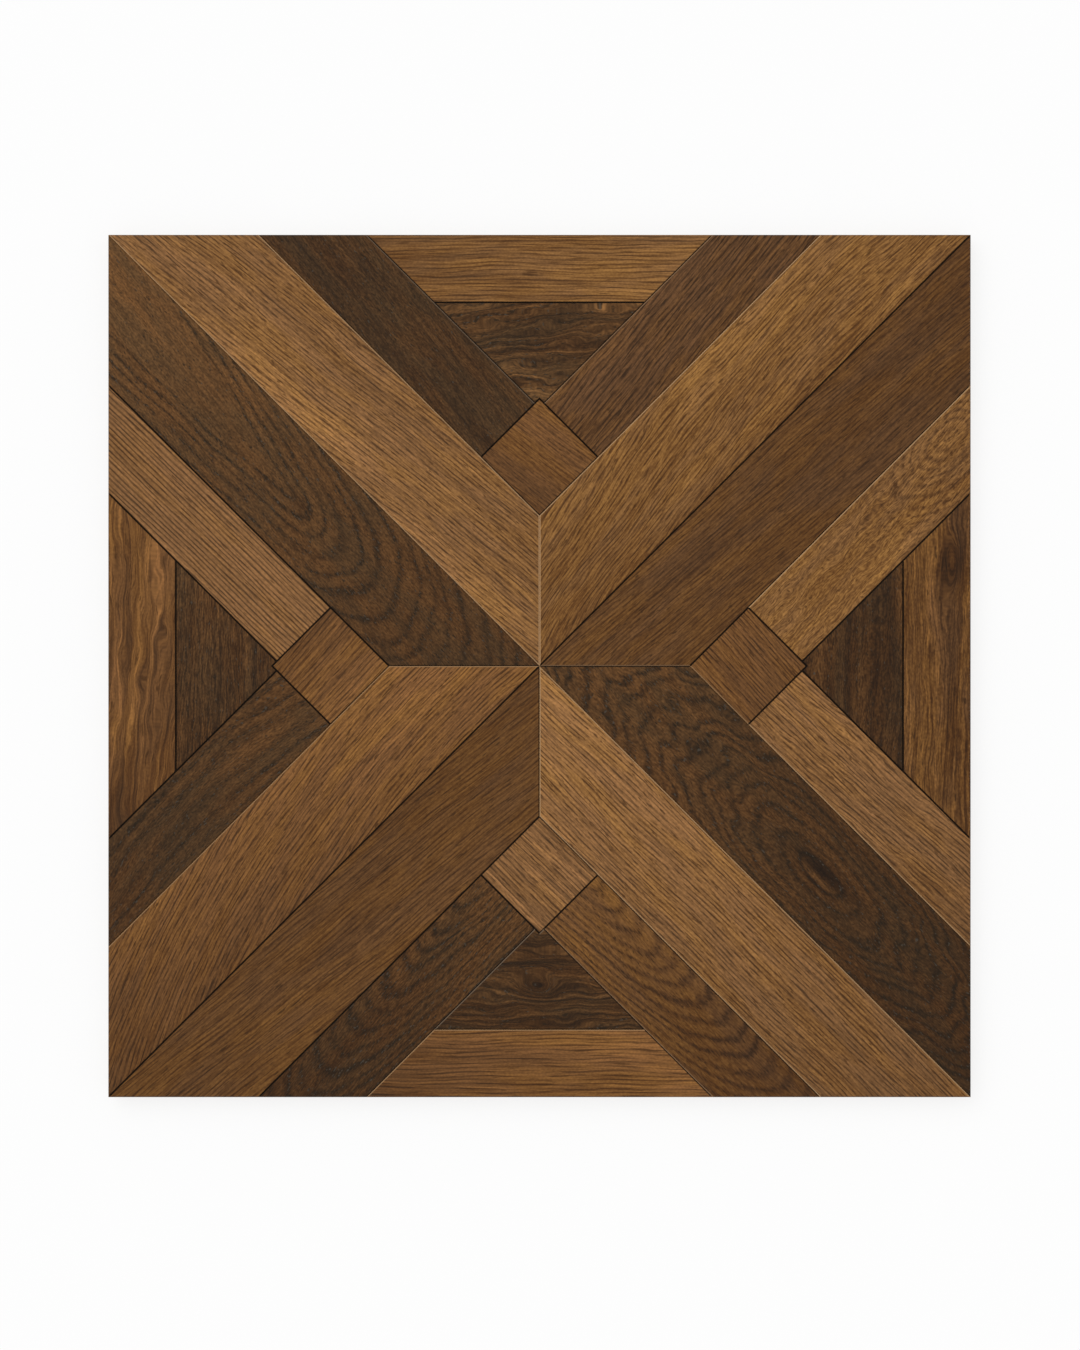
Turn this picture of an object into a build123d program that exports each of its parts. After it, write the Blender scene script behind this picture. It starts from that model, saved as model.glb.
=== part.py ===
"""Square parquet panel: oak slats in a diagonal-cross pattern, glued to a grooved plywood carrier.

Frame: origin at the centre of the underside, +Z up, +Y towards the north edge, +X towards the
east edge. All sizes are in millimetres.

The pattern is one quadrant repeated four times about the centre. Two wide boards side by side
make each diagonal arm, and the arms meet in mitres at the centre. A narrower rail runs along
each arm. A square block stands in each crotch between two arms, against the ends of two rails.
A wedge and a border strip fill the triangle that is left at the edge.
"""

import os
from math import sqrt

from build123d import *

# Overall size and the widths of the slats, each measured square across its own grain
PANEL_SIDE = 600.0
ARM_BOARD_WIDTH = 74.0
RAIL_WIDTH = 53.0
BORDER_WIDTH = 47.0
# How much wider than a rail the block is, so that its outer corner notches the wedge
BLOCK_OVERSIZE = 4.5

# Thickness of the slats and the small 45 degree bevel round each slat's top edge
SLAT_THICKNESS = 4.0
MICRO_BEVEL = 0.8

# Plywood carrier and the groove round its edge, which takes a loose tongue
CARRIER_THICKNESS = 11.0
GROOVE_HEIGHT = 5.0
GROOVE_DEPTH = 8.0
LOWER_LIP = 3.0
# The lip under the groove stands back, so that the top edges of two panels close first
LIP_SETBACK = 0.5

# The quadrants by name, anticlockwise in plan from the one that is drawn
QUADRANTS = ("north", "west", "south", "east")

half_side = PANEL_SIDE / 2
block_side = RAIL_WIDTH + BLOCK_OVERSIZE
# Distances from the centre, out along a quadrant's middle line
crotch = ARM_BOARD_WIDTH * sqrt(2)
rail_meeting = (ARM_BOARD_WIDTH + RAIL_WIDTH) * sqrt(2)
# How each quadrant is turned from the drawn one
turns = {name: Rot(0, 0, 360 / len(QUADRANTS) * place) for place, name in enumerate(QUADRANTS)}


def chevron(tip):
    """The part of the north quadrant beyond two lines at 45 degrees that meet at (0, tip)."""
    reach = half_side - tip
    return Polygon((0, tip), (reach, half_side), (-reach, half_side), align=None)


def quadrant_outlines():
    """Plan outline of each slat in the north quadrant. Left and right are seen from the centre."""
    west_half = Rectangle(PANEL_SIDE, PANEL_SIDE, align=(Align.MAX, Align.MIN))
    edge_band = Pos(0, half_side) * Rectangle(
        PANEL_SIDE, BORDER_WIDTH, align=(Align.CENTER, Align.MAX)
    )
    block = Pos(0, crotch) * Rot(0, 0, 45) * Rectangle(block_side, block_side, align=Align.MIN)

    arms = chevron(0) - chevron(crotch)
    rails = chevron(crotch) - chevron(rail_meeting) - block
    infill = chevron(rail_meeting) - block
    return {
        "arm_left": arms & west_half,
        "arm_right": arms - west_half,
        "rail_left": rails & west_half,
        "rail_right": rails - west_half,
        "block": block,
        "wedge": infill - edge_band,
        "border": infill & edge_band,
    }


def slat(outline):
    """An outline made a slat on top of the carrier, with its top edges bevelled."""
    body = extrude(Pos(0, 0, CARRIER_THICKNESS) * outline, SLAT_THICKNESS)
    top = body.faces().sort_by(Axis.Z)[-1]
    return chamfer(top.edges(), MICRO_BEVEL)


def carrier():
    """The plywood under the slats, with the groove and the lip's setback cut along each edge."""
    plate = extrude(Rectangle(PANEL_SIDE, PANEL_SIDE), CARRIER_THICKNESS)
    groove_top = LOWER_LIP + GROOVE_HEIGHT
    inner_wall = half_side - GROOVE_DEPTH
    lip_edge = half_side - LIP_SETBACK
    edge_section = Polygon(
        (half_side, 0),
        (half_side, groove_top),
        (inner_wall, groove_top),
        (inner_wall, LOWER_LIP),
        (lip_edge, LOWER_LIP),
        (lip_edge, 0),
        align=None,
    )
    cutter = extrude(Plane.XZ * edge_section, half_side, both=True)
    for turn in turns.values():
        plate -= turn * cutter
    return plate


def main():
    os.makedirs("parts", exist_ok=True)
    export_step(carrier(), "parts/plywood_carrier.step")
    slats = {name: slat(outline) for name, outline in quadrant_outlines().items()}
    for quadrant, turn in turns.items():
        for name, body in slats.items():
            export_step(turn * body, f"parts/{quadrant}_{name}.step")


main()
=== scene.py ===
"""Looks of the parquet panel: each oak slat's stain and figure, the plywood carrier, light and camera."""

from dataclasses import dataclass, field
from math import cos, e, radians, sin

import bmesh
import bpy
from mathutils import Matrix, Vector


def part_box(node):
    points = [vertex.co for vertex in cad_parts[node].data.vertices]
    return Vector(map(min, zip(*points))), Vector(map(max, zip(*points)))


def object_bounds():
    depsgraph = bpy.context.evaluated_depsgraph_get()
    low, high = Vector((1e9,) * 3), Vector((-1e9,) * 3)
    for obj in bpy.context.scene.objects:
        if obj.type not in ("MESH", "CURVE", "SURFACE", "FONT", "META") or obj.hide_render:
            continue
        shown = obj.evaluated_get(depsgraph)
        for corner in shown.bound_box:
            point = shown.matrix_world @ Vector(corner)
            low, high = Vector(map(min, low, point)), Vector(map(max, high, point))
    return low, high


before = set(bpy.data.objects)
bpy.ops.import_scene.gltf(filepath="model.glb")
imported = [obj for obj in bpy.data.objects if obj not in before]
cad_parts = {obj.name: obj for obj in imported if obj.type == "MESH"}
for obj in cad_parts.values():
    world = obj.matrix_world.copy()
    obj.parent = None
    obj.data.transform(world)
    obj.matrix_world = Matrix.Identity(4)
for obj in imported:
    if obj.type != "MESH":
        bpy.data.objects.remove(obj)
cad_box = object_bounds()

# One millimetre in scene units. Grain sizes and places below are in millimetres
MM = 0.001

# Frame of the picture and where the panel's centre and width fall in it, in pixels
PICTURE_WIDTH = 1080
PICTURE_HEIGHT = 1350
PANEL_CENTRE_PX = (539.5, 666.0)
PANEL_WIDTH_PX = 862.5
LENS = 85.0
SENSOR = 36.0

FLOOR_SIZE = 12.0
FLOOR_WHITE = (0.985, 0.985, 0.985, 1.0)
WHITE = (1.0, 1.0, 1.0, 1.0)
# How far the floor's white hides the panel's shadow from the camera
FLOOR_GLOW = 0.8
# The floor lies a hair above the panel's underside, so that the two faces don't fall in one plane
FLOOR_HEIGHT = 0.05 * MM

# Strength of the light from all round, and the lamp's strength and its angles in degrees
FILL_STRENGTH = 0.75
LAMP_STRENGTH = 1.03
LAMP_SPREAD = 50
LAMP_TILT = 40
LAMP_TURN = 45

# Sheen and relief of the two woods
OAK_SPECULAR = 0.12
OAK_RELIEF = 0.08 * MM
PLYWOOD_SPECULAR = 0.25
PLYWOOD_RELIEF = 0.05 * MM

# Length and width of each kind of unevenness in the oak
SWING = (140, 40)
SWIRL = (25, 9)
LINE_DRIFT = (90, 7)
RING_STRAY = (50, 18)
RING_WEAR = (35, 14)
STRAND = (90, 3)
SPECKLE = (1.8, 1.0)
MOTTLE = (160, 11)
PATCH = (60, 14)

# How strongly the arrises are rubbed pale with a painted highlight and the grooves dusty with painted shade,
# and how far in the panel's rim goes
ARRIS_WEAR_AND_HIGHLIGHT = 0.85
DUST_AND_SHADE_COVER = 0.95
HALF_SIDE = cad_box[1].x / MM
RIM_START = HALF_SIDE - 1.2
RIM_END = HALF_SIDE - 0.9

PLIES = 9
VENEER = (0.58, 0.43, 0.265)
CORE_PLY = (0.36, 0.24, 0.13)
GLUE = (0.10, 0.055, 0.03, 1)


class Signal:
    """One socket in a finish's node tree. Arithmetic on signals adds Math nodes."""

    def __init__(self, finish, socket):
        self.finish = finish
        self.socket = socket

    def math(self, operation, *others):
        return self.finish.math(operation, self, *others)

    def __add__(self, other):
        return self.math("ADD", other)

    __radd__ = __add__

    def __sub__(self, other):
        return self.math("SUBTRACT", other)

    def __rsub__(self, other):
        return self.finish.math("SUBTRACT", other, self)

    def __mul__(self, other):
        return self.math("MULTIPLY", other)

    __rmul__ = __mul__

    def __truediv__(self, other):
        return self.math("DIVIDE", other)

    def __pow__(self, other):
        return self.math("POWER", other)

    def __rpow__(self, other):
        return self.finish.math("POWER", other, self)

    def __neg__(self):
        return self.math("MULTIPLY", -1.0)

    def __abs__(self):
        return self.math("ABSOLUTE")


class Finish:
    """The nodes of a material, which make its colour, sheen and relief, or of the world."""

    def __init__(self, owner):
        self.owner = owner
        owner.use_nodes = True
        self.tree = owner.node_tree
        self.tree.nodes.clear()

    def node(self, kind, settings, inputs, output=0):
        """Adds a node, makes its settings, then fills or links its sockets."""
        made = self.tree.nodes.new(kind)
        for name, value in settings.items():
            setattr(made, name, value)
        for name, value in inputs.items():
            if isinstance(value, Signal):
                self.tree.links.new(value.socket, made.inputs[name])
            else:
                made.inputs[name].default_value = value
        return Signal(self, made.outputs[output]) if made.outputs else None

    def math(self, operation, *values):
        return self.node("ShaderNodeMath", {"operation": operation}, dict(enumerate(values)))

    def place(self, origin, turn, size=(MM, MM, MM)):
        """Place from an origin in metres, turned in plan, in millimetres or in the sizes given."""
        here = self.node("ShaderNodeTexCoord", {}, {}, "Object")
        inputs = {"Vector": here, "Location": origin, "Rotation": (0, 0, radians(turn)), "Scale": size}
        return self.node("ShaderNodeMapping", {"vector_type": "TEXTURE"}, inputs)

    def split(self, vector):
        parts = self.node("ShaderNodeSeparateXYZ", {}, {"Vector": vector}).socket.node.outputs
        return [Signal(self, part) for part in parts]

    def join(self, x, y, z):
        return self.node("ShaderNodeCombineXYZ", {}, {"X": x, "Y": y, "Z": z})

    def rise(self, value, low, high):
        """0 below low, 1 above high, with soft ends."""
        settings = {"interpolation_type": "SMOOTHSTEP"}
        inputs = {"Value": value, "From Min": low, "From Max": high}
        return self.node("ShaderNodeMapRange", settings, inputs)

    def blend(self, factor, first, second):
        """A colour between two others."""
        return self.node("ShaderNodeMix", {"data_type": "RGBA"}, {0: factor, 6: first, 7: second}, 2)

    def scale(self, colour, factor):
        return self.node("ShaderNodeVectorMath", {"operation": "SCALE"}, {0: colour, "Scale": factor})

    def streaks(self, place, along, across, seed, detail=2.0, rough=0.5):
        """Noise about 0, mostly within 1 either way, drawn out to a length and a width in millimetres."""
        stretch = (1 / along, 1 / across, 1 / across)
        shift = (seed * 7.31, seed * 3.17, seed * 5.83)
        inputs = {0: place, 1: stretch, 2: shift}
        drawn = self.node("ShaderNodeVectorMath", {"operation": "MULTIPLY_ADD"}, inputs)
        inputs = {"Vector": drawn, "Scale": 1.0, "Detail": detail, "Roughness": rough}
        noise = self.node("ShaderNodeTexNoise", {"noise_dimensions": "3D"}, inputs)
        return (noise - 0.5) * 4

    def surface(self, colour, roughness, specular, height, relief):
        """The finished surface. Height is a share of the relief, which is in metres."""
        bump = self.node("ShaderNodeBump", {}, {"Strength": 1.0, "Distance": relief, "Height": height})
        inputs = {
            "Base Color": colour,
            "Roughness": roughness,
            "Specular IOR Level": specular,
            "Normal": bump,
        }
        self.show(self.node("ShaderNodeBsdfPrincipled", {}, inputs))

    def show(self, shader):
        self.node("ShaderNodeOutputMaterial", {}, {"Surface": shader})


@dataclass
class Stain:
    """Colours of one stain: deep and pale wood, cool patches, open pores, and rubbed arrises that carry a
    painted highlight.
    """

    deep: tuple
    pale: tuple
    cool: tuple
    pore: tuple
    # Pale colour of rubbed arrises, which also paints a highlight along them
    worn_and_lit_arris: tuple


STAINS = {
    "honey_oak": Stain(
        deep=(0.156, 0.059, 0.012, 1),
        pale=(0.174, 0.083, 0.021, 1),
        cool=(0.154, 0.073, 0.026, 1),
        pore=(0.058, 0.022, 0.005, 1),
        worn_and_lit_arris=(0.460, 0.285, 0.145, 1),
    ),
    "amber_oak": Stain(
        deep=(0.126, 0.044, 0.008, 1),
        pale=(0.132, 0.059, 0.013, 1),
        cool=(0.111, 0.048, 0.015, 1),
        pore=(0.044, 0.017, 0.004, 1),
        worn_and_lit_arris=(0.340, 0.198, 0.095, 1),
    ),
    "chestnut_oak": Stain(
        deep=(0.096, 0.034, 0.006, 1),
        pale=(0.100, 0.044, 0.010, 1),
        cool=(0.080, 0.036, 0.013, 1),
        pore=(0.030, 0.013, 0.004, 1),
        worn_and_lit_arris=(0.250, 0.148, 0.079, 1),
    ),
    "smoked_oak": Stain(
        deep=(0.068, 0.026, 0.0055, 1),
        pale=(0.072, 0.031, 0.0086, 1),
        cool=(0.048, 0.024, 0.0082, 1),
        pore=(0.018, 0.011, 0.005, 1),
        worn_and_lit_arris=(0.165, 0.115, 0.076, 1),
    ),
}
FLECK_GREY = (0.105, 0.091, 0.074, 1)
# Near-black at the bottom of the grooves between slats: dust, and painted shade
GROOVE_DUST_AND_SHADE = (0.005, 0.0035, 0.0025, 1)


@dataclass
class Rift:
    """Sawn across the growth rings, which show as straight bands."""

    spacing: float = 8.0
    width: float = 0.6
    wander: float = 0.25
    wear: float = 0.7
    middle: tuple = None
    reach: float = None

    def radius(self, along, across):
        return across


@dataclass
class Cathedral:
    """Sawn along the growth rings, which show as nested arches: half ovals ahead, flaring behind."""

    middle: tuple
    spacing: float = 7.0
    drawn: float = 2.3
    flare: float = 0.3
    width: float = 0.6
    wander: float = 0.3
    wear: float = 0.3
    core: float = 0.0
    reach: float = None

    def radius(self, along, across):
        ahead = along.math("MAXIMUM", 0.0)
        behind = along.math("MINIMUM", 0.0)
        return ((ahead / self.drawn) ** 2 + across**2) ** 0.5 + behind * self.flare


@dataclass
class Eye:
    """Sawn where the growth rings bulge, so that they show as ovals drawn out along the grain."""

    middle: tuple
    spacing: float = 7.0
    drawn: float = 2.2
    width: float = 0.6
    wander: float = 0.5
    wear: float = 0.3
    core: float = 0.0
    reach: float = None

    def radius(self, along, across):
        return ((along / self.drawn) ** 2 + across**2) ** 0.5


@dataclass
class Oak:
    """How one slat was sawn and how its grain shows. Tones are in stops, lengths in millimetres.

    The grain's direction is in plan, anticlockwise from east. The lean is how much paler the slat
    grows over 100 mm towards the east and the north. A spot is a paler or darker place: where it is,
    its length and width along the grain, and its tone. A knot is given by its place, length and width.
    The arrises that are rubbed pale with a painted highlight, and those with little dust and painted
    shade in their groove, are given by the way they face.
    """

    stain: str
    grain: float
    lean: tuple = (0.0, 0.0)
    figure: object = field(default_factory=Rift)
    shade: float = 0.0
    lines: float = 1.3
    pitch: float = 2.75
    broken: float = 0.7
    rings: float = 0.15
    strands: float = 0.25
    fibre: float = 0.5
    fibre_length: float = 10.0
    fibre_width: float = 0.8
    speckle: float = 0.2
    bow: float = 0.0
    swing: float = 2.5
    swirl: float = 0.15
    mottle: float = 0.16
    cool: float = 0.6
    patchy: float = 0.5
    flecks: float = 0.0
    spots: tuple = ()
    knot: tuple = None
    rubbed: tuple = ()
    clean: tuple = ()


def smoked(grain, lean=(0.0, 0.0), figure=Rift(), **how):
    """A dark slat, whose growth rings and short fibres show more than its lines."""
    plain = {"lines": 0.1, "rings": 0.8, "strands": 0.25, "fibre": 0.55, "flecks": 0.35, "cool": 0.45}
    sizes = {"fibre_length": 5, "fibre_width": 1.0, "speckle": 0.35}
    return Oak("smoked_oak", grain, lean, figure, **{**plain, **sizes, **how})


SLATS = {
    "north_arm_left": Oak(
        "honey_oak", -39, (-0.3, -0.3), shade=0.25, strands=0.35, mottle=0.25, rubbed=(45, 225, 0)
    ),
    "north_arm_right": Oak(
        "honey_oak", 50, (-0.4, 0.5), shade=-0.33, lines=1.1, bow=0.4, swing=4, swirl=0.5, fibre=0.6,
        cool=0.25, mottle=0.25, spots=((106, 186, 22, 9, 0.25), (255, 267, 45, 2.5, 0.5)), rubbed=(135, 180),
    ),
    "north_rail_left": smoked(
        -50, (0.2, 0.2), shade=-0.14, rings=0.2, strands=0.65, fibre=0.65, cool=0.55,
        rubbed=(45,), clean=(225,),
    ),
    "north_rail_right": Oak(
        "chestnut_oak", 51, (-0.2, 0.2), shade=-0.1, pitch=3.2, swirl=0.4, fibre=0.7, cool=0.7,
        rubbed=(135,), clean=(315,),
    ),
    "north_block": Oak("amber_oak", -37, (0.5, 1.0), shade=0.03, lines=0.8, strands=0.15, fibre_length=8),
    "north_wedge": smoked(
        4, (-0.3, 0.0), Rift(spacing=5.0, width=0.8, wander=0.5),
        shade=0.55, rings=0.7, swing=6, swirl=3, strands=1.3, mottle=0.4, fibre_length=6, cool=0.5,
    ),
    "north_border": Oak(
        "honey_oak", 0, (0.3, 0.0), shade=-0.1, lines=1.05, swirl=0.3, strands=0.4, fibre_length=25,
        cool=0.4,
    ),
    "west_arm_left": Oak("amber_oak", 57, (-0.3, 0.6), shade=-0.16, bow=0.67, rubbed=(135, 90)),
    "west_arm_right": smoked(
        -50, (0.0, 0.3), Cathedral((-176, 122), spacing=7.0, drawn=2.45, flare=0.14, width=0.65),
        shade=0.58, rings=1.0, cool=0.45, spots=((-166, 112, 9, 3.5, -0.7),), clean=(45,),
    ),
    "west_rail_left": smoked(
        43, (0.1, 0.2), Rift(spacing=11.0, width=0.75, wander=0.3, wear=0.4),
        shade=0.21, bow=1.2, swing=6, rings=0.85, clean=(315,),
    ),
    "west_rail_right": Oak(
        "honey_oak", -44, (0.2, 0.1), lines=1.6, broken=0.45, swing=0.8, swirl=0.05, fibre=0.3,
        fibre_length=14, cool=0.8,
    ),
    "west_block": Oak(
        "amber_oak", 48, (0.8, -0.7), shade=0.1, lines=1.1, pitch=3.2, strands=0.35, fibre_length=14
    ),
    "west_wedge": smoked(
        88, (-0.3, 0.7), shade=-0.16, lines=0.4, rings=0.2, strands=0.6, fibre=1.0, fibre_length=9,
        cool=0.4, mottle=0.4,
    ),
    "west_border": Oak(
        "amber_oak", 88, (-0.2, 0.3), shade=-0.03, lines=0.4, swing=8, swirl=2.0, strands=0.9,
        fibre_length=14, mottle=0.7,
    ),
    "south_arm_left": Oak(
        "honey_oak", -44, (0.0, 0.3), shade=0.07, lines=1.4, rubbed=(45, 180, 225)
    ),
    "south_arm_right": Oak(
        "chestnut_oak", 39, (0.2, -0.2), shade=-0.08, lines=0.9, fibre_length=14, cool=0.3
    ),
    "south_rail_left": Oak(
        "chestnut_oak", -46, (-0.2, 0.4),
        Cathedral((18, -132), spacing=3.9, drawn=4.2, width=0.75, wander=0.2, wear=0.2),
        shade=0.4, lines=0.2, rings=1.25, strands=0.2, fibre_length=6, cool=0.3, rubbed=(225,),
    ),
    "south_rail_right": smoked(
        231, (0.3, 0.4), Cathedral((-17, -118), spacing=3.7, drawn=5.0, width=0.75),
        shade=0.03, rings=1.15, swirl=0.7, fibre=0.7, fibre_length=6, cool=0.3,
    ),
    "south_block": Oak("honey_oak", -44, shade=-0.13, lines=1.4, strands=0.6, cool=0.8, mottle=0.5),
    "south_wedge": smoked(
        -1, (0.0, 0.4), Rift(spacing=6.0),
        shade=-0.25, rings=0.4, swing=5, swirl=2.5, strands=1.4, fibre_length=8, cool=0.35,
        spots=((-1, -224, 13, 6, -0.8),), knot=(-1, -224, 13, 6), rubbed=(135,),
    ),
    "south_border": Oak(
        "amber_oak", 0, (0.4, 0.8), shade=0.12, lines=1.1, swirl=0.3, strands=0.4, fibre_length=25,
        rubbed=(90, 135),
    ),
    "east_arm_left": Oak(
        "chestnut_oak", 41, (-0.1, 0.0), shade=-0.05, lines=0.9, cool=0.4, mottle=0.2, rubbed=(270,)
    ),
    "east_arm_right": smoked(
        -45, (-0.2, 0.2), Eye((195, -146), spacing=5.6, drawn=3.1, width=0.7, wander=0.7, wear=0.2, core=5),
        shade=0.03, swing=4, swirl=1.5, rings=1.25, cool=0.4,
        spots=((197.5, -143.5, 20, 4, -2.2), (193, -148, 10, 2, 0.8), (190.5, -150.5, 15, 1.5, -1.0)),
        clean=(45, 225),
    ),
    "east_rail_left": Oak(
        "honey_oak", 47, (-0.5, 0.4),
        Eye((284, 157), spacing=4.2, drawn=1.9, width=0.8, wander=1.0, wear=0.5, reach=70),
        shade=0.2, lines=0.6, rings=0.7, strands=0.5, swirl=2.0, fibre=0.7, fibre_length=5, cool=0.3,
        spots=((246, 74, 45, 2.5, 0.6),), rubbed=(135,),
    ),
    "east_rail_right": Oak(
        "honey_oak", -41, (0.0, 0.3), shade=-0.05, lines=1.4, swing=3, swirl=0.9, strands=0.4, cool=0.7,
        rubbed=(225,),
    ),
    "east_block": Oak("amber_oak", -47, (-0.4, 0.1), shade=-0.12, rubbed=(225,)),
    "east_wedge": smoked(
        88, (-0.7, 0.2), shade=-0.36, rings=0.3, swing=5, strands=0.5, mottle=0.8, fibre=0.9, cool=0.35
    ),
    "east_border": Oak(
        "chestnut_oak", 90, (-1.0, 0.0), shade=0.22, lines=0.6, swing=5, swirl=0.8, strands=0.8, fibre=0.7,
        fibre_length=12, speckle=0.3, cool=0.4, mottle=0.6, spots=((288, 72, 16, 11, -1.2),),
        knot=(288, 72, 20, 5),
    ),
}


def oak_finish(name, oak, seed):
    """Stained oak: dark lines, bands of pores, fibres and strands, and a bevel rubbed pale with a painted
    highlight on some sides and dusty with painted shade in the groove.
    """
    stain = STAINS[oak.stain]
    figure = oak.figure
    low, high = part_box(name)
    middle = (low + high) / 2
    centre = (middle.x, middle.y, high.z)
    start = centre
    if figure.middle:
        start = (figure.middle[0] * MM, figure.middle[1] * MM, high.z)
    finish = Finish(bpy.data.materials.new(name))
    place = finish.place(start, oak.grain)

    # The grain bows over the whole slat, swings over a long way and swirls over a short one
    along, across, up = finish.split(place)
    swirl = finish.streaks(place, *SWIRL, seed + 0.20, 1.0) * oak.swirl
    if figure.middle:
        away = ((along * 0.7) ** 2 + across**2) ** 0.5
        swirl = swirl * finish.rise(away, 10, 50)
    across = across + along * along * (oak.bow / 1000)
    across = across + finish.streaks(place, *SWING, seed + 0.10) * oak.swing + swirl
    if oak.knot:
        across = across + spot(finish, oak, *oak.knot) * oak.knot[3] * 2
    grain = finish.join(along, across, up)

    # Dark lines, broken here and there
    beat = across / oak.pitch + finish.streaks(grain, *LINE_DRIFT, seed + 0.30, 1.0) * 0.35
    line = finish.rise(abs(beat.math("FRACT") - 0.5), 0.22, 0.44)
    gaps = finish.rise(finish.streaks(grain, oak.fibre_length, 1.7, seed + 0.35, 1.0), -0.3, 0.3)
    line = line * (1 - gaps * oak.broken)

    # Growth rings: bands where the pores crowd together, worn away in places
    stray = finish.streaks(place, *RING_STRAY, seed + 0.40) * figure.spacing * figure.wander
    if figure.middle:
        stray = stray * finish.rise(away, 10, 55)
    radius = figure.radius(along, across) + stray
    year = finish.join(radius, 0.0, 0.0)
    uneven = finish.streaks(year, figure.spacing * 2, 1, seed + 0.42, 0.0) * figure.spacing * 0.3
    ring = ((radius + uneven) / figure.spacing).math("FRACT")
    band = finish.rise(ring, 0.0, 0.35) * (1 - finish.rise(ring, 0.3, figure.width))
    strength = finish.rise(finish.streaks(year, figure.spacing, 1, seed + 0.43, 0.0), -0.5, 0.5)
    worn = finish.rise(finish.streaks(place, *RING_WEAR, seed + 0.45), -0.4, 0.8)
    band = band * (0.6 + strength * 0.4) * (1 - worn * figure.wear) * (1 - gaps * 0.4)
    if figure.middle:
        band = band * finish.rise(radius, figure.core - 0.5, figure.core + 0.5)
    if figure.reach:
        band = band * (1 - finish.rise(away, figure.reach * 0.4, figure.reach))
    crowd = band * min(oak.rings * 1.5, 1.0) * 0.8
    pores = finish.streaks(grain, oak.fibre_length * 0.7, 1.2, seed + 0.50, 1.0)
    pores = finish.rise(pores + crowd, 0.55, 0.95)

    strands = finish.streaks(grain, *STRAND, seed + 0.60, 2.0)
    fibre = finish.streaks(grain, oak.fibre_length, oak.fibre_width, seed + 0.70, 1.0)
    fibre = finish.rise(fibre, -0.3, 0.5)
    speckle = finish.streaks(grain, *SPECKLE, seed + 0.75, 0.0)
    mottle = finish.streaks(grain, *MOTTLE, seed + 0.80, 2.0)
    lean = finish.node(
        "ShaderNodeVectorMath",
        {"operation": "DOT_PRODUCT"},
        {0: finish.place(centre, 0), 1: (oak.lean[0] / 100, oak.lean[1] / 100, 0)},
        "Value",
    )
    tone = lean + oak.shade + mottle * oak.mottle + strands * oak.strands
    tone = tone + (0.4 - fibre) * oak.fibre + (0.4 - line) * oak.lines - band * oak.rings
    tone = tone + speckle * oak.speckle
    for x, y, length, width, paler in oak.spots:
        tone = tone + spot(finish, oak, x, y, length, width) * paler

    # Pale wood is yellower than deep wood, and the pores are greyer than both
    colour = finish.blend(finish.rise(tone, -1, 1), stain.deep, stain.pale)
    patch = finish.rise(finish.streaks(grain, *PATCH, seed + 0.90, 3.0), -0.7, 0.7) - 0.5
    patch = finish.rise(patch * oak.patchy + oak.cool + band * (oak.rings * 0.3), 0.0, 1.0)
    colour = finish.scale(finish.blend(patch, colour, stain.cool), 2**tone)
    colour = finish.blend(pores * 0.7, colour, stain.pore)
    if oak.flecks:
        colour = finish.blend(finish.rise(speckle, 0.2, 0.7) * pores * oak.flecks, colour, FLECK_GREY)

    # The bevel round the top: rubbed pale with a painted highlight on some sides, with dust and painted
    # shade low in the groove, less on the rim
    depth = -up
    east, north, _ = finish.split(finish.place((0, 0, 0), 0))
    rim = finish.rise(abs(east).math("MAXIMUM", abs(north)), RIM_START, RIM_END)
    rubbed = sum(facing(finish, way) for way in oak.rubbed)
    clean = sum(facing(finish, way) for way in oak.clean)
    bevel = finish.rise(depth, 0.0, 0.1) * (1 - finish.rise(depth, 0.9, 1.3))
    # Painted highlight with wear: the arrises that face the listed ways turn pale
    colour = finish.blend(bevel * rubbed * ARRIS_WEAR_AND_HIGHLIGHT, colour, stain.worn_and_lit_arris)
    # Painted shade with dust: the groove bottoms turn near-black, less under a pale arris, on the listed
    # clean sides and on the rim
    dust_and_shade = finish.rise(depth - rubbed * 0.6, 0.1, 0.3) * bevel
    dust_and_shade = dust_and_shade * (1 - clean * 0.9) * (1 - rim * 0.7)
    colour = finish.blend(dust_and_shade * DUST_AND_SHADE_COVER, colour, GROOVE_DUST_AND_SHADE)

    roughness = 0.55 + pores * 0.1 + fibre * 0.04
    height = -fibre * 0.3 - line * 0.3 - pores * 0.4
    finish.surface(colour, roughness, OAK_SPECULAR, height, OAK_RELIEF)
    return finish.owner


def facing(finish, way):
    """1 on the sides that face a way in plan, in degrees anticlockwise from east."""
    normal = finish.node("ShaderNodeNewGeometry", {}, {}, "Normal")
    inputs = {0: normal, 1: (cos(radians(way)), sin(radians(way)), 0)}
    turned = finish.node("ShaderNodeVectorMath", {"operation": "DOT_PRODUCT"}, inputs, "Value")
    return finish.rise(turned, 0.5, 0.65)


def spot(finish, oak, x, y, length, width):
    """1 at a place on the slat, fading to 0 over a length along the grain and a width across it."""
    place = finish.place((x * MM, y * MM, 0), oak.grain, (length * MM, width * MM, 1))
    along, across, _ = finish.split(place)
    return e ** (-(along * along + across * across))


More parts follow.
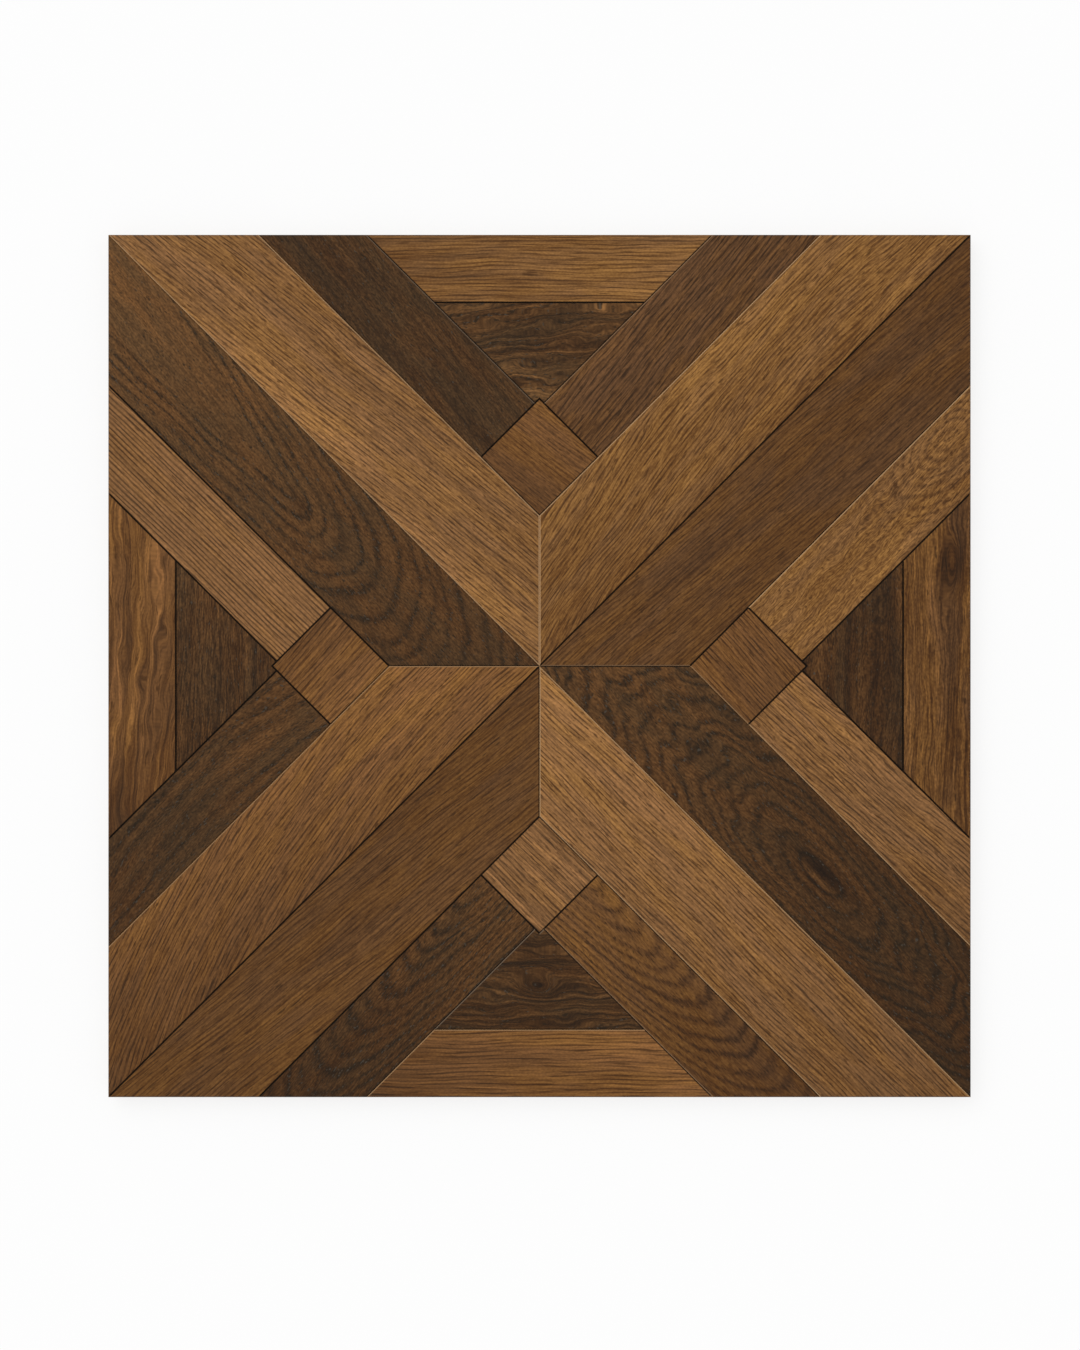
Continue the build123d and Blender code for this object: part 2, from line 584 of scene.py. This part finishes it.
def plywood_finish():
    """Birch plywood: crossed plies, seen as bands on the edges and as a veneer underneath."""
    finish = Finish(bpy.data.materials.new("birch_plywood"))
    low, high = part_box("plywood_carrier")
    ply = (high.z - low.z) / PLIES / MM
    lengthways = finish.place((0, 0, 0), 0)
    crossways = finish.place((0, 0, 0), 90)
    _, _, up = finish.split(lengthways)
    # Counted from just under the lower face, so that the whole face is in the first ply
    layer = up / ply + 0.01
    crossed = (layer * 0.5).math("FRACT").math("GREATER_THAN", 0.5)
    inside = finish.rise(layer, 0.3, 0.4) * (1 - finish.rise(layer, PLIES - 0.4, PLIES - 0.3))
    glue = finish.rise(abs(layer.math("FRACT") - 0.5), 0.42, 0.48) * inside
    # The veneer was peeled round the log, so its growth rings show as broad wavy contours
    veneer = finish.streaks(lengthways, 60, 5, 1.0, 4.0)
    contour = (finish.streaks(lengthways, 650, 75, 2.0, 1.0) * 3).math("FRACT")
    growth = finish.rise(contour, 0.0, 0.8) - finish.rise(contour, 0.88, 1.0)
    vessels = finish.rise(finish.streaks(lengthways, 9, 0.7, 4.0, 1.0), 0.4, 1.0)
    core = finish.streaks(crossways, 30, 1.2, 3.0, 3.0)
    pale = finish.scale(VENEER, 2 ** (veneer * 0.12 - growth * 0.22 - vessels * 0.2))
    brown = finish.scale(CORE_PLY, 2 ** (core * 0.3))
    colour = finish.blend(crossed, pale, brown)
    colour = finish.blend(glue, colour, GLUE)
    roughness = 0.6 + veneer * 0.05
    height = veneer * 0.3 + core * 0.2
    finish.surface(colour, roughness, PLYWOOD_SPECULAR, height, PLYWOOD_RELIEF)
    return finish.owner


def background_rays(finish):
    """1 for the rays that show the background: to the camera, or in a reflection or through glass."""
    ways = ("Is Camera Ray", "Is Glossy Ray", "Is Transmission Ray")
    camera, glossy, transmission = (finish.node("ShaderNodeLightPath", {}, {}, way) for way in ways)
    return camera.math("MAXIMUM", glossy).math("MAXIMUM", transmission)


def lay_floor():
    """A plain white floor under the panel, clear from below so that the underside can be looked at."""
    mesh = bpy.data.meshes.new("floor")
    shape = bmesh.new()
    level = Matrix.Translation((0, 0, FLOOR_HEIGHT))
    bmesh.ops.create_grid(shape, x_segments=1, y_segments=1, size=FLOOR_SIZE / 2, matrix=level)
    shape.to_mesh(mesh)
    shape.free()
    floor = bpy.data.objects.new("floor", mesh)
    bpy.context.scene.collection.objects.link(floor)
    finish = Finish(bpy.data.materials.new("floor_white"))
    paper = finish.node("ShaderNodeBsdfDiffuse", {}, {"Color": FLOOR_WHITE})
    glow = finish.node("ShaderNodeEmission", {}, {"Color": FLOOR_WHITE, "Strength": 1.0})
    seen = background_rays(finish)
    white = finish.node("ShaderNodeMixShader", {}, {0: seen * FLOOR_GLOW, 1: paper, 2: glow})
    clear = finish.node("ShaderNodeBsdfTransparent", {}, {})
    under = finish.node("ShaderNodeNewGeometry", {}, {}, "Backfacing")
    finish.show(finish.node("ShaderNodeMixShader", {}, {0: under, 1: white, 2: clear}))
    mesh.materials.append(finish.owner)


def add_sun(name, strength, spread, tilt, turn):
    """A soft lamp, tilted from overhead towards the north and then turned in plan."""
    lamp = bpy.data.lights.new(name, "SUN")
    lamp.energy = strength
    lamp.angle = radians(spread)
    sun = bpy.data.objects.new(name, lamp)
    sun.rotation_euler = (radians(-tilt), 0, radians(turn))
    bpy.context.scene.collection.objects.link(sun)


def light_studio():
    """Even light from all round, with a soft lamp high in the north-west."""
    world = bpy.data.worlds.new("studio")
    bpy.context.scene.world = world
    studio = Finish(world)
    fill = studio.node("ShaderNodeBackground", {}, {"Color": WHITE, "Strength": FILL_STRENGTH})
    backdrop = studio.node("ShaderNodeBackground", {}, {"Color": WHITE, "Strength": 1.0})
    seen = background_rays(studio)
    light = studio.node("ShaderNodeMixShader", {}, {0: seen, 1: fill, 2: backdrop})
    studio.node("ShaderNodeOutputWorld", {}, {"Surface": light})
    add_sun("north_west_lamp", LAMP_STRENGTH, LAMP_SPREAD, LAMP_TILT, LAMP_TURN)


def set_camera():
    """Straight down on the slats, with north at the top of the picture."""
    low, high = cad_box
    pixels_per_metre = PANEL_WIDTH_PX / (high.x - low.x)
    distance = LENS / SENSOR * PICTURE_HEIGHT / pixels_per_metre
    camera = bpy.data.cameras.new("camera")
    camera.lens = LENS
    camera.sensor_width = SENSOR
    view = bpy.data.objects.new("camera", camera)
    right = (PICTURE_WIDTH / 2 - PANEL_CENTRE_PX[0]) / pixels_per_metre
    down = (PICTURE_HEIGHT / 2 - PANEL_CENTRE_PX[1]) / pixels_per_metre
    view.location = (right, -down, high.z + distance)
    bpy.context.scene.collection.objects.link(view)
    bpy.context.scene.camera = view


def finish_node(name, material):
    """Gives a piece of the panel its one material."""
    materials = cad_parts[name].data.materials
    materials.clear()
    materials.append(material)


for seed, (name, oak) in enumerate(SLATS.items(), start=1):
    finish_node(name, oak_finish(name, oak, seed))
finish_node("plywood_carrier", plywood_finish())

lay_floor()
light_studio()
set_camera()
bpy.context.scene.view_settings.view_transform = "Standard"
